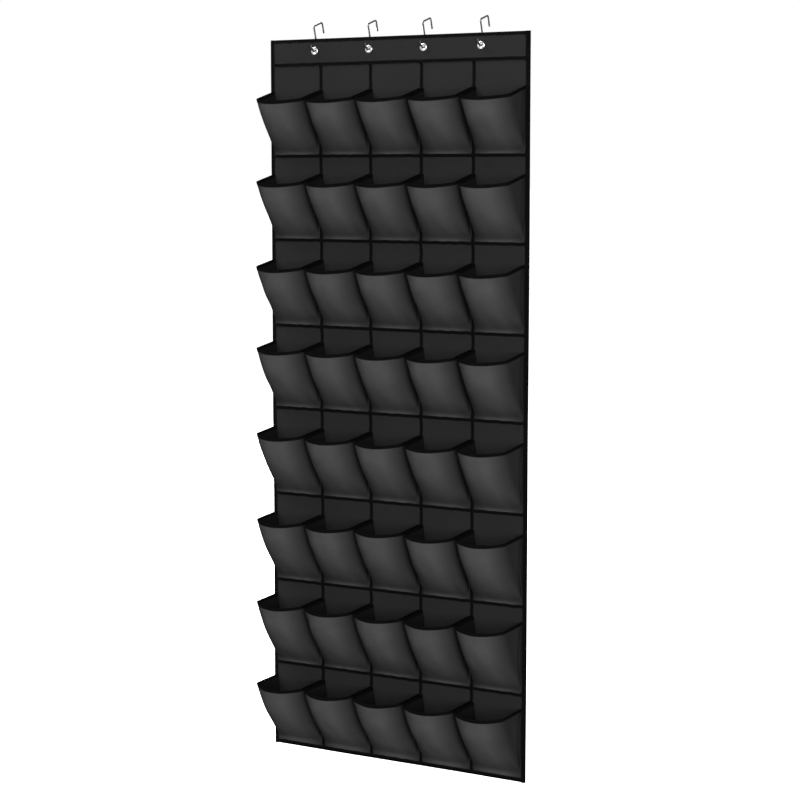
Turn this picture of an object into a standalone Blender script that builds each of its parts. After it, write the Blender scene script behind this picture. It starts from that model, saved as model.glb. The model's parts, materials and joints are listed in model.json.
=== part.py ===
"""Over-the-door shoe organizer: a fabric back panel with eight rows of five gusseted pockets, hung by four
wire hooks from grommets in its header.

Frame: metres, +Z up, +X to the right and -Y towards the room. The origin is where the door holds the hooks:
the top front edge of the door, midway between the hooks. The hooks are modelled leaning forward on the
header's top edge, as they hang when they are off a door.
"""

import math

import bmesh
import bpy
from mathutils import Vector

# Driving dimensions
PANEL_WIDTH = 0.750
PANEL_HEIGHT = 1.860
HEADER_HEIGHT = 0.0645
ROW_HEIGHTS = (0.233, 0.216, 0.223, 0.217, 0.228, 0.231, 0.224, 0.2235)
COLUMNS = 5
COLUMN_PITCH = 0.1475
GAP = 0.0003
WELD_DISTANCE = 0.000005

# Fabric layers, as distances in front of the panel's middle plane
CORE_FRONT = 0.0012
CORE_REAR = -0.0012
HEADER_CORE_REAR = -0.0008
TONGUE_HALF_THICKNESS = 0.0003
HEADER_BAND_LAYER = (0.0015, 0.0023)
HEADER_TAPE_LAYER = (0.0026, 0.0034)
STRIP_MIDDLE = 0.0021
STRIP_THICKNESS = 0.0012
TRIM_THICKNESS = 0.0008
ROW_TAPE_LAYER = (0.0030, 0.0038)
COLUMN_TAPE_LAYER = (0.0042, 0.0050)

# Edge binding, folded round the panel's thin edge
BINDING_WIDTH = 0.012
TOP_BINDING_WIDTH = 0.009
BINDING_FRONT = 0.0019
BINDING_REAR = -0.00115
BINDING_WEB = 0.0008
BINDING_SLOT_HALF = 0.0006

# Tapes
ROW_TAPE_HEIGHT = 0.008
COLUMN_TAPE_WIDTH = 0.009

# Pockets: each value runs from the top row to the bottom row
POCKET_DEPTH = (0.089, 0.107)
RIM_HEIGHT_AT_SEAM = (0.167, 0.189)
RIM_HEIGHT_AT_FRONT = (0.144, 0.187)
FLAT_HEIGHT = 0.008
SEWN_EDGE_BELOW_LINE = 0.003
SEAM_LAND = 0.0067
CORNER_AT_FLOOR = 0.0082
CORNER_AT_RIM = 0.0056
CORNER_RADIUS = 0.010
RIM_CROWN = 0.024
BELLY_CROWN = 0.010
RIM_SAG = 0.006
SHOULDER_PLACE = 0.6
SHOULDER_SHARE = 0.8
DEPTH_BOW = 0.50
TRIM_HEIGHT = 0.008
WALL_LEVELS = (0.0, 0.3, 0.65, 1.0)

# Hooks and grommets
HOOK_X = (-0.240, -0.079, 0.079, 0.240)
WIRE_DIAMETER = 0.0045
J_RADIUS = 0.013
J_STEPS = 8
J_TIP_HEIGHT = 0.0195
BAR_HEIGHT = 0.061
BAR_BEND_RADIUS = 0.005
BAR_BEND_STEPS = 3
DOOR_GAP = 0.037
BACK_LEG_LENGTH = 0.028
PIVOT_BELOW_TOP = 0.031
HOOK_LEAN = math.radians(17)
GROMMET_OUTER_RADIUS = 0.010
GROMMET_BORE_RADIUS = 0.005
BARREL_RADIUS = 0.0062
HOLE_RADIUS = 0.0065
FLANGE_THICKNESS = 0.0011
FLANGE_ROUNDING = 0.0012
WASHER_THICKNESS = 0.0008
CUTTER_LENGTH = 0.02
ROUND_SEGMENTS = 20

# Places that follow from the driving dimensions
PANEL_Y = -(J_RADIUS + WIRE_DIAMETER / 2)
PIVOT_Z = -(BAR_HEIGHT - WIRE_DIAMETER / 2)
PANEL_TOP = PIVOT_Z + PIVOT_BELOW_TOP
PANEL_BOTTOM = PANEL_TOP - PANEL_HEIGHT
HEADER_LINE = PANEL_TOP - HEADER_HEIGHT
HALF_WIDTH = PANEL_WIDTH / 2
CORE_HALF_WIDTH = HALF_WIDTH - BINDING_WIDTH
CORE_TOP = PANEL_TOP - TOP_BINDING_WIDTH
CORE_BOTTOM = PANEL_BOTTOM + BINDING_WIDTH
ROW_LINES = [HEADER_LINE - sum(ROW_HEIGHTS[:row + 1]) for row in range(len(ROW_HEIGHTS))]

# Colour, roughness and metallic value of each material
MATERIALS = {
    "panel_fabric": ((0.020, 0.020, 0.021), 0.90, 0.0),
    "pocket_fabric": ((0.035, 0.035, 0.036), 0.80, 0.0),
    "binding_tape": ((0.006, 0.006, 0.007), 0.85, 0.0),
    "grommet_metal": ((0.72, 0.72, 0.73), 0.25, 1.0),
    "hook_metal": ((0.45, 0.45, 0.46), 0.35, 1.0),
}

# Turns a profile drawn in X and Y so that it lies in world Y and Z and its thickness runs along X
ALONG_X = (math.pi / 2, 0.0, math.pi / 2)


def clear_scene():
    for old in list(bpy.data.objects):
        bpy.data.objects.remove(old, do_unlink=True)


def make_collection(name):
    collection = bpy.data.collections.new(name)
    bpy.context.scene.collection.children.link(collection)
    return collection


def make_material(name):
    colour, roughness, metallic = MATERIALS[name]
    material = bpy.data.materials.get(name)
    if material is None:
        material = bpy.data.materials.new(name)
        material.use_nodes = True
        shader = material.node_tree.nodes["Principled BSDF"]
        shader.inputs["Base Color"].default_value = (*colour, 1.0)
        shader.inputs["Roughness"].default_value = roughness
        shader.inputs["Metallic"].default_value = metallic
    return material


def add_object(name, data, collection, material_name):
    thing = bpy.data.objects.new(name, data)
    data.materials.append(make_material(material_name))
    collection.objects.link(thing)
    return thing


def world_y(distance_in_front):
    return PANEL_Y - distance_in_front


def box(name, x_range, layer, z_range, collection, material_name):
    """A box between two X values, two distances in front of the panel's middle plane and two Z values."""
    bpy.ops.mesh.primitive_cube_add(size=1.0)
    thing = bpy.context.active_object
    thing.name = name
    thing.data.name = name
    size = (x_range[1] - x_range[0], abs(layer[1] - layer[0]), z_range[1] - z_range[0])
    for vertex in thing.data.vertices:
        vertex.co = Vector(side * length for side, length in zip(vertex.co, size))
    thing.location = (sum(x_range) / 2, world_y(sum(layer) / 2), sum(z_range) / 2)
    thing.data.materials.append(make_material(material_name))
    for owner in list(thing.users_collection):
        owner.objects.unlink(thing)
    collection.objects.link(thing)
    return thing


def outline_curve(name, points, length, collection, material_name):
    """A flat outline in X and Y, given a thickness along Z."""
    curve = bpy.data.curves.new(name, "CURVE")
    curve.dimensions = "2D"
    curve.fill_mode = "BOTH"
    curve.extrude = length / 2
    spline = curve.splines.new("POLY")
    spline.points.add(len(points) - 1)
    for point, (x, y) in zip(spline.points, points):
        point.co = (x, y, 0.0, 1.0)
    spline.use_cyclic_u = True
    return add_object(name, curve, collection, material_name)


def curve_to_mesh(curve_object, collection, material_name):
    """Replaces a curve object by a welded mesh object, so that it can be cut and joined."""
    bpy.context.view_layer.update()
    evaluated = curve_object.evaluated_get(bpy.context.evaluated_depsgraph_get())
    mesh = bpy.data.meshes.new_from_object(evaluated)
    mesh.materials.clear()
    work = bmesh.new()
    work.from_mesh(mesh)
    bmesh.ops.remove_doubles(work, verts=work.verts, dist=WELD_DISTANCE)
    bmesh.ops.recalc_face_normals(work, faces=work.faces)
    work.to_mesh(mesh)
    work.free()
    name = curve_object.name
    place = curve_object.matrix_world.copy()
    bpy.data.objects.remove(curve_object, do_unlink=True)
    thing = add_object(name, mesh, collection, material_name)
    thing.matrix_world = place
    return thing


def combine(target, operand, operation):
    modifier = target.modifiers.new(operation.lower(), "BOOLEAN")
    modifier.operation = operation
    modifier.solver = "EXACT"
    modifier.object = operand
    operand.hide_render = True
    operand.display_type = "WIRE"


def hole_cutter(name, x, collection):
    """A round cutter through the whole header, along Y."""
    bpy.ops.mesh.primitive_cylinder_add(vertices=ROUND_SEGMENTS, radius=HOLE_RADIUS, depth=CUTTER_LENGTH)
    cutter = bpy.context.active_object
    cutter.name = name
    cutter.location = (x, PANEL_Y, PIVOT_Z)
    cutter.rotation_euler = (math.pi / 2, 0.0, 0.0)
    for owner in list(cutter.users_collection):
        owner.objects.unlink(cutter)
    collection.objects.link(cutter)
    return cutter


def cut_grommet_holes(target, collection):
    for number, x in enumerate(HOOK_X, start=1):
        combine(target, hole_cutter(f"{target.name}_hole_{number}", x, collection), "DIFFERENCE")


def build_back_panel(parts, cutters):
    """The back sheet: a full-thickness core, thinner behind the header, with a thin edge for the binding."""
    profile = [
        (world_y(CORE_FRONT), CORE_BOTTOM),
        (world_y(CORE_REAR), CORE_BOTTOM),
        (world_y(CORE_REAR), HEADER_LINE),
        (world_y(HEADER_CORE_REAR), HEADER_LINE),
        (world_y(HEADER_CORE_REAR), CORE_TOP),
        (world_y(CORE_FRONT), CORE_TOP),
    ]
    core = outline_curve("back_panel", profile, 2 * CORE_HALF_WIDTH, parts, "panel_fabric")
    core.rotation_euler = ALONG_X
    core = curve_to_mesh(core, parts, "panel_fabric")
    inset = BINDING_WEB + GAP
    edge = box(
        "back_panel_edge",
        (-HALF_WIDTH + inset, HALF_WIDTH - inset),
        (-TONGUE_HALF_THICKNESS, TONGUE_HALF_THICKNESS),
        (PANEL_BOTTOM + inset, PANEL_TOP - inset),
        cutters,
        "panel_fabric",
    )
    combine(core, edge, "UNION")
    cut_grommet_holes(core, cutters)


def build_header_band(parts, cutters):
    band = box(
        "header_band",
        (-CORE_HALF_WIDTH, CORE_HALF_WIDTH),
        HEADER_BAND_LAYER,
        (HEADER_LINE - ROW_TAPE_HEIGHT / 2, CORE_TOP),
        parts,
        "panel_fabric",
    )
    cut_grommet_holes(band, cutters)


def binding_profile(width):
    """A U section: inward distance from the panel's edge, and distance in front of the middle plane."""
    flange = width - GAP
    return [
        (0.0, BINDING_FRONT),
        (flange, BINDING_FRONT),
        (flange, BINDING_SLOT_HALF),
        (BINDING_WEB, BINDING_SLOT_HALF),
        (BINDING_WEB, -BINDING_SLOT_HALF),
        (flange, -BINDING_SLOT_HALF),
        (flange, BINDING_REAR),
        (0.0, BINDING_REAR),
    ]


def build_bindings(parts):
    for side, name in ((-1, "left_binding"), (1, "right_binding")):
        profile = binding_profile(BINDING_WIDTH)
        points = [(side * (HALF_WIDTH - inward), world_y(front)) for inward, front in profile]
        binding = outline_curve(name, points, PANEL_HEIGHT, parts, "binding_tape")
        binding.location.z = (PANEL_TOP + PANEL_BOTTOM) / 2
    for name, edge, inward_sign, width in (
        ("top_binding", PANEL_TOP, -1, TOP_BINDING_WIDTH),
        ("bottom_binding", PANEL_BOTTOM, 1, BINDING_WIDTH),
    ):
        points = [(world_y(front), edge + inward_sign * inward) for inward, front in binding_profile(width)]
        binding = outline_curve(name, points, 2 * CORE_HALF_WIDTH, parts, "binding_tape")
        binding.rotation_euler = ALONG_X


def build_tapes(parts):
    across = (-CORE_HALF_WIDTH, CORE_HALF_WIDTH)
    half_height = ROW_TAPE_HEIGHT / 2
    header_range = (HEADER_LINE - half_height, HEADER_LINE + half_height)
    box("header_tape", across, HEADER_TAPE_LAYER, header_range, parts, "binding_tape")
    for row, line in enumerate(ROW_LINES[:-1], start=1):
        tape_range = (line - half_height, line + half_height)
        box(f"row_tape_{row}", across, ROW_TAPE_LAYER, tape_range, parts, "binding_tape")
    z_range = (CORE_BOTTOM + GAP, header_range[0] - GAP)
    for column in range(1, COLUMNS):
        x = (column - COLUMNS / 2) * COLUMN_PITCH
        x_range = (x - COLUMN_TAPE_WIDTH / 2, x + COLUMN_TAPE_WIDTH / 2)
        box(f"column_tape_{column}", x_range, COLUMN_TAPE_LAYER, z_range, parts, "binding_tape")


def row_value(ends, row):
    """The value for one row, of a size that changes evenly from the top row to the bottom row."""
    share = row / (len(ROW_HEIGHTS) - 1)
    return ends[0] + (ends[1] - ends[0]) * share


def half_pocket(row, level):
    """Half a pocket's wall at one level, 0 at its floor and 1 at its rim, from the seam to the middle.

    Each station is its distance from the seam, its distance in front of the land and its rim height.
    """
    depth = row_value(POCKET_DEPTH, row) * (level + DEPTH_BOW * level * (1 - level))
    rounding = min(CORNER_RADIUS, depth)
    corner = CORNER_AT_FLOOR + (CORNER_AT_RIM - CORNER_AT_FLOOR) * level
    crown = RIM_CROWN * level + BELLY_CROWN * math.sin(math.pi * level)
    seam_rim = row_value(RIM_HEIGHT_AT_SEAM, row)
    front_rim = row_value(RIM_HEIGHT_AT_FRONT, row)
    half_pitch = COLUMN_PITCH / 2
    return [
        (SEAM_LAND, 0.0, seam_rim),
        (corner, depth - rounding, front_rim),
        (corner + CORNER_RADIUS, depth, front_rim),
        (half_pitch * SHOULDER_PLACE, depth + SHOULDER_SHARE * crown, front_rim - SHOULDER_SHARE * RIM_SAG),
        (half_pitch, depth + crown, front_rim - RIM_SAG),
    ]


def wall_line(row, level):
    """One level across all five pockets, as X, distance in front of the land and rim height."""
    half = half_pocket(row, level)
    line = []
    for column in range(COLUMNS):
        left_seam = (column - COLUMNS / 2) * COLUMN_PITCH
        right_seam = left_seam + COLUMN_PITCH
        line += [(left_seam + across, depth, rim) for across, depth, rim in half]
        line += [(right_seam - across, depth, rim) for across, depth, rim in reversed(half[:-1])]
    return line


def sewn_edge(row):
    return max(ROW_LINES[row] - SEWN_EDGE_BELOW_LINE, CORE_BOTTOM + GAP)


def pocket_floor(row):
    """Where the wall leaves the panel."""
    return max(ROW_LINES[row], sewn_edge(row)) + FLAT_HEIGHT


def wall_row(row, level):
    """World points of the strip at one level."""
    floor = pocket_floor(row)
    reach = [ROW_LINES[row] + rim - floor for _, _, rim in wall_line(row, level)]
    return [
        (x, world_y(STRIP_MIDDLE + depth), floor + level * height)
        for (x, depth, _), height in zip(wall_line(row, level), reach)
    ]


def grid_object(name, rows_of_points, thickness, clearance, parts, material_name):
    """An open sheet through rows of points, thickened to a closed wall.

    With no clearance the wall is centred on the sheet, and otherwise it stands that far in front of it.
    """
    sheet = bmesh.new()
    grid = [[sheet.verts.new(point) for point in points] for points in rows_of_points]
    for lower, upper in zip(grid, grid[1:]):
        for i in range(len(lower) - 1):
            sheet.faces.new((lower[i], lower[i + 1], upper[i + 1], upper[i]))
    mesh = bpy.data.meshes.new(name)
    sheet.to_mesh(mesh)
    sheet.free()
    thing = add_object(name, mesh, parts, material_name)
    wall = thing.modifiers.new("thickness", "SOLIDIFY")
    wall.thickness = thickness
    wall.offset = 1 + 2 * clearance / thickness if clearance else 0.0


def build_pocket_rows(parts):
    """Each row is one strip sewn flat at its lower edge and at the seams, with a taped rim."""
    for row, line in enumerate(ROW_LINES):
        hem = [(x, y, sewn_edge(row)) for x, y, _ in wall_row(row, 0.0)]
        wall = [hem, *(wall_row(row, level) for level in WALL_LEVELS)]
        grid_object(f"pocket_row_{row + 1}", wall, STRIP_THICKNESS, 0.0, parts, "pocket_fabric")
        wall_height = line + row_value(RIM_HEIGHT_AT_FRONT, row) - pocket_floor(row)
        trim_level = 1 - TRIM_HEIGHT / wall_height
        trim = [wall_row(row, level) for level in (trim_level, 1.0)]
        clearance = STRIP_THICKNESS / 2 + GAP
        grid_object(f"pocket_trim_{row + 1}", trim, TRIM_THICKNESS, clearance, parts, "binding_tape")


def turned_object(name, profile, parts, material_name):
    """A closed profile of radius and height, turned about a Z axis that is laid along the world's -Y."""
    mesh = bpy.data.meshes.new(name)
    count = len(profile)
    edges = [(i, (i + 1) % count) for i in range(count)]
    mesh.from_pydata([(radius, 0.0, height) for radius, height in profile], edges, [])
    thing = add_object(name, mesh, parts, material_name)
    turn = thing.modifiers.new("turn", "SCREW")
    turn.axis = "Z"
    turn.angle = 2 * math.pi
    turn.steps = ROUND_SEGMENTS
    turn.render_steps = ROUND_SEGMENTS
    turn.use_merge_vertices = True
    turn.merge_threshold = WELD_DISTANCE
    thing.rotation_euler = (math.pi / 2, 0.0, 0.0)
    return thing


def grommet_profile():
    """From the flange's front down its outer side, along the barrel, and back up the bore."""
    flange_rear = HEADER_BAND_LAYER[1] + GAP
    flange_front = flange_rear + FLANGE_THICKNESS
    washer_rear = HEADER_CORE_REAR - GAP - WASHER_THICKNESS
    barrel_end = washer_rear - GAP
    return [
        (GROMMET_BORE_RADIUS + FLANGE_ROUNDING, flange_front),
        (GROMMET_OUTER_RADIUS - FLANGE_ROUNDING, flange_front),
        (GROMMET_OUTER_RADIUS, flange_front - FLANGE_ROUNDING / 2),
        (GROMMET_OUTER_RADIUS, flange_rear),
        (BARREL_RADIUS, flange_rear),
        (BARREL_RADIUS, barrel_end),
        (GROMMET_BORE_RADIUS, barrel_end),
        (GROMMET_BORE_RADIUS, flange_front - FLANGE_ROUNDING / 2),
    ]


def washer_profile():
    front = HEADER_CORE_REAR - GAP
    rear = front - WASHER_THICKNESS
    return [
        (BARREL_RADIUS + GAP, front),
        (GROMMET_OUTER_RADIUS, front),
        (GROMMET_OUTER_RADIUS, rear),
        (BARREL_RADIUS + GAP, rear),
    ]


def build_grommets(parts):
    for number, x in enumerate(HOOK_X, start=1):
        for name, profile in (("grommet", grommet_profile()), ("grommet_washer", washer_profile())):
            ring = turned_object(f"{name}_{number}", profile, parts, "grommet_metal")
            ring.location = (x, PANEL_Y, PIVOT_Z)


def arc(centre, radius, start, end, steps):
    """Points along an arc in Y and Z, with angles in degrees from +Y towards +Z."""
    angles = [math.radians(start + (end - start) * i / steps) for i in range(steps + 1)]
    return [(centre[0] + radius * math.cos(a), centre[1] + radius * math.sin(a)) for a in angles]


def hook_path():
    """The wire's centre line in Y and Z, from the J's front tip to the end of the back leg.

    The lowest point of the J is at 0, 0, which is the middle of the grommet's bore.
    """
    front = J_RADIUS
    back = front + DOOR_GAP + WIRE_DIAMETER
    bend = BAR_BEND_RADIUS
    j_bend = arc((0.0, J_RADIUS), J_RADIUS, 180, 360, J_STEPS)
    front_bend = arc((front + bend, BAR_HEIGHT - bend), bend, 180, 90, BAR_BEND_STEPS)
    back_bend = arc((back - bend, BAR_HEIGHT - bend), bend, 90, 0, BAR_BEND_STEPS)
    return [(-J_RADIUS, J_TIP_HEIGHT), *j_bend, *front_bend, *back_bend, (back, BAR_HEIGHT - BACK_LEG_LENGTH)]


def hook_wire():
    curve = bpy.data.curves.new("hook_wire", "CURVE")
    curve.dimensions = "3D"
    curve.bevel_depth = WIRE_DIAMETER / 2
    curve.bevel_resolution = 2
    curve.use_fill_caps = True
    path = hook_path()
    spline = curve.splines.new("POLY")
    spline.points.add(len(path) - 1)
    for point, (y, z) in zip(spline.points, path):
        point.co = (0.0, y, z, 1.0)
    curve.materials.append(make_material("hook_metal"))
    return curve


def build_hooks(parts):
    """Each hook hangs from an empty on its pivot, in the middle of its grommet."""
    wire = hook_wire()
    for number, x in enumerate(HOOK_X, start=1):
        pivot = bpy.data.objects.new(f"hook_pivot_{number}", None)
        pivot.location = (x, PANEL_Y, PIVOT_Z)
        pivot.rotation_euler = (HOOK_LEAN, 0.0, 0.0)
        parts.objects.link(pivot)
        hook = bpy.data.objects.new(f"hook_{number}", wire)
        hook.parent = pivot
        parts.objects.link(hook)


def main():
    clear_scene()
    parts = make_collection("shoe_organizer")
    cutters = make_collection("cutters")
    build_back_panel(parts, cutters)
    build_header_band(parts, cutters)
    build_bindings(parts)
    build_tapes(parts)
    build_pocket_rows(parts)
    build_grommets(parts)
    build_hooks(parts)


main()
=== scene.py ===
import json
import math

import bmesh
import bpy
import numpy as np
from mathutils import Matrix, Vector


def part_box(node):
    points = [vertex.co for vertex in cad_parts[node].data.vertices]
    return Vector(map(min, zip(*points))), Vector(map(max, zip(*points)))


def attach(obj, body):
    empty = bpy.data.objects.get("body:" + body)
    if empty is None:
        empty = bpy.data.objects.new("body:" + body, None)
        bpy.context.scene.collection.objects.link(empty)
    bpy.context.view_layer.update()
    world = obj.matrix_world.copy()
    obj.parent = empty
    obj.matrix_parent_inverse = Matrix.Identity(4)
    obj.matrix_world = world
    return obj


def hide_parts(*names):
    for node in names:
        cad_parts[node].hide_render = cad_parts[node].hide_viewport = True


# Looks of the over-the-door shoe organizer: fine cloth, folded tapes, thread, grommets and wire hooks,
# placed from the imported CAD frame. Metres, +Z up. The panel hangs in an X-Z plane and faces -Y. A distance
# "in front" is measured from the panel's middle plane towards -Y.

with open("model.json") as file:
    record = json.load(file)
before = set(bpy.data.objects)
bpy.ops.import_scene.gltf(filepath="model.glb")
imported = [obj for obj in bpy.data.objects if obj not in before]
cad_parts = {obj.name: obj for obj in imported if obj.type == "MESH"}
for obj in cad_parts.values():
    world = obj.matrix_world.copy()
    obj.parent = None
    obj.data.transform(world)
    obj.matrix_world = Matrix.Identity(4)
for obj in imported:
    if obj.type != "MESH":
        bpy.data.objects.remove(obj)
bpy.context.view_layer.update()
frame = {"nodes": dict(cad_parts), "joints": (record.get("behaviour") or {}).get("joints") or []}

X, Y, Z = range(3)
BODY = "organizer"


def middle(node, axis):
    low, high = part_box(node)
    return (low[axis] + high[axis]) / 2


def extent(node, axis):
    low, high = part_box(node)
    return high[axis] - low[axis]


def count_nodes(prefix):
    return sum(name.startswith(prefix) for name in frame["nodes"])


# Places read from the CAD
ROWS = count_nodes("pocket_row_")
COLUMNS = count_nodes("column_tape_") + 1
PIVOTS = {joint["child"]: joint["pos_m"] for joint in frame["joints"]}
PANEL_Y = PIVOTS["hook_1"][Y]
PIVOT_Z = PIVOTS["hook_1"][Z]
PANEL_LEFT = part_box("left_binding")[0][X]
PANEL_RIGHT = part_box("right_binding")[1][X]
PANEL_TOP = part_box("top_binding")[1][Z]
PANEL_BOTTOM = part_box("bottom_binding")[0][Z]
BINDING_WIDTH = extent("left_binding", X)
TOP_BINDING_WIDTH = extent("top_binding", Z)
TAPE_WIDTH = extent("header_tape", Z)
COLUMN_TAPE_WIDTH = extent("column_tape_1", X)
HEADER_LINE = middle("header_tape", Z)
ROW_LINES = [middle(f"row_tape_{row}", Z) for row in range(1, ROWS)] + [PANEL_BOTTOM]
INNER_SEAMS = [middle(f"column_tape_{column}", X) for column in range(1, COLUMNS)]
PITCH = (INNER_SEAMS[-1] - INNER_SEAMS[0]) / (len(INNER_SEAMS) - 1)
SEAMS = [INNER_SEAMS[0] - PITCH, *INNER_SEAMS, INNER_SEAMS[-1] + PITCH]
WIRE_RADIUS = extent("hook_1", X) / 2

# Cloth layers, as distances in front of the panel's middle plane
SHEET_FRONT = 0.0012
SHEET_THICKNESS = 0.0018
HEADER_FRONT = 0.0020
HEADER_THICKNESS = 0.0006
STRIP_LAYER = 0.0017
CLOTH_THICKNESS = 0.00045
LAYER_STEP = 0.0005
STRIP_TOP = 0.0028
TAPE_THICKNESS = 0.0006
CLEARANCE = 0.0002

# Thicknesses of the CAD's own strip, which the pocket depths are measured from
STRIP_HALF_THICKNESS = 0.0006
STRIP_MIDDLE = 0.0021

# Heights that the pockets share with the tapes over them
FLAT_HEIGHT = 0.008
TRIM_HEIGHT = 0.008

# How far a line of stitches lies in from the edge of its tape
STITCH_INSET = 0.0016

# Uneven cloth
WAVE_COUNT = 14
WAVELENGTH_SPREAD = (0.7, 1.5)


class Waves:
    """A smooth random field over two lengths, as a sum of seeded plane waves of about one wavelength."""

    def __init__(self, seed, wavelength):
        random = np.random.default_rng(seed)
        angle = random.uniform(0, 2 * math.pi, WAVE_COUNT)
        number = 2 * math.pi / (wavelength * random.uniform(*WAVELENGTH_SPREAD, WAVE_COUNT))
        self.across = number * np.cos(angle)
        self.up = number * np.sin(angle)
        self.phase = random.uniform(0, 2 * math.pi, WAVE_COUNT)
        self.scale = 1 / math.sqrt(WAVE_COUNT / 2)

    def __call__(self, across, up):
        across, up = np.broadcast_arrays(np.asarray(across, float), np.asarray(up, float))
        total = np.zeros(across.shape)
        for a, b, phase in zip(self.across, self.up, self.phase):
            total += np.cos(a * across + b * up + phase)
        return total * self.scale


SLOW_WAVES = Waves(seed=3, wavelength=0.40)
PUCKER_WAVES = Waves(seed=5, wavelength=0.026)
WRINKLE_WAVES = Waves(seed=7, wavelength=0.055)
EDGE_WAVES = Waves(seed=11, wavelength=0.030)
RIPPLE_HEIGHT = 0.0007
PUCKER_HEIGHT = 0.00022
PUCKER_REACH = 0.012
WRINKLE_HEIGHT = 0.0005
EDGE_WANDER = 0.00025
HANG_START = 0.02
HANG_LENGTH = 0.25


def ease(value):
    value = np.clip(value, 0, 1)
    return value * value * (3 - 2 * value)


def ripple(x, z):
    """How far the hanging cloth stands out of its plane: none at the grommets, more lower down."""
    return RIPPLE_HEIGHT * ease((PIVOT_Z - HANG_START - z) / HANG_LENGTH) * SLOW_WAVES(x, z)


def pucker(x, z):
    """Short ripples in the sheet beside its seams."""
    total = np.zeros(np.broadcast(x, z).shape)
    for seam in INNER_SEAMS:
        total += np.exp(-((x - seam) / PUCKER_REACH) ** 2)
    for line in [HEADER_LINE, *ROW_LINES]:
        total += np.exp(-((z - line) / PUCKER_REACH) ** 2)
    return PUCKER_HEIGHT * np.minimum(total, 1) * PUCKER_WAVES(x, z)


def place(x, front, z):
    """World points from X, distance in front and Z."""
    x, front, z = np.broadcast_arrays(x, front, z)
    return np.stack([x, PANEL_Y - front, z], axis=-1)


def unit(vectors):
    return vectors / np.linalg.norm(vectors, axis=-1, keepdims=True)


def lengths_along(points):
    """Distance run along the first axis of an array of points."""
    steps = np.linalg.norm(np.diff(points, axis=0), axis=-1)
    return np.concatenate([np.zeros((1, *steps.shape[1:])), np.cumsum(steps, axis=0)])


# Meshes

SHARP_ANGLE = math.radians(50)


def link(name, mesh, material):
    mesh.materials.append(material)
    thing = bpy.data.objects.new(name, mesh)
    bpy.context.scene.collection.objects.link(thing)
    return thing


def grid_object(name, points, uv, material, ring=False, capped=False):
    """A piece through a grid of points, rows by columns, with UVs in metres of cloth.

    A ring joins the last column to the first one, and its UVs have one more column than its points.
    """
    rows, columns = points.shape[:2]
    index = np.arange(rows * columns).reshape(rows, columns)
    if ring:
        index = np.concatenate([index, index[:, :1]], axis=1)
    corner = np.arange(index.size).reshape(index.shape)

    def quads(grid):
        return np.stack([grid[:-1, :-1], grid[:-1, 1:], grid[1:, 1:], grid[1:, :-1]], axis=-1).reshape(-1, 4)

    faces = quads(index).tolist()
    corner_uv = uv.reshape(-1, 2)[quads(corner).ravel()]
    if capped:
        faces += [index[0, :columns].tolist(), index[-1, :columns].tolist()]
        corner_uv = np.concatenate([corner_uv, np.zeros((2 * columns, 2))])
    mesh = bpy.data.meshes.new(name)
    mesh.from_pydata(points.reshape(-1, 3).tolist(), [], faces)
    mesh.uv_layers.new(name="cloth").data.foreach_set("uv", corner_uv.ravel())
    if ring:
        face_outwards(mesh)
    mesh.shade_smooth()
    mesh.set_sharp_from_angle(angle=SHARP_ANGLE)
    return link(name, mesh, material)


def face_outwards(mesh):
    work = bmesh.new()
    work.from_mesh(mesh)
    bmesh.ops.recalc_face_normals(work, faces=work.faces)
    work.to_mesh(mesh)
    work.free()


def apply_modifiers(thing):
    bpy.context.view_layer.update()
    evaluated = thing.evaluated_get(bpy.context.evaluated_depsgraph_get())
    mesh = bpy.data.meshes.new_from_object(evaluated)
    thing.modifiers.clear()
    thing.data = mesh
    mesh.name = thing.name


def thicken(thing, thickness, offset=0.0):
    wall = thing.modifiers.new("thickness", "SOLIDIFY")
    wall.thickness = thickness
    wall.offset = offset
    apply_modifiers(thing)


def keep(thing, slot, *nodes, body=BODY):
    """Puts a finished piece on its body, in place of the CAD nodes it stands for."""
    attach(thing, body)
    if nodes:
        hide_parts(*nodes)


# Materials

CLOTH_GLOSS = 0.0
THREAD_GLOSS = 0.05

# Patterns in the materials, as repeats in a metre
SLUBS = (40, 900)
DYE = 7.0
LINT = 260.0
WEAR = 60.0
FUZZ = 900.0
TARNISH = 220.0
STREAKS_ALONG = 60

# Widths of the repeats that are made one by one
YARN = 0.0011
RIB = 0.0009
STRAND = 0.0006

# Depths of the relief, the first two as shares of a yarn and of a rib
WEAVE_RELIEF = 0.25
RIB_RELIEF = 0.3
STRAND_RELIEF = 0.00008
STREAK_RELIEF = 0.00002


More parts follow.
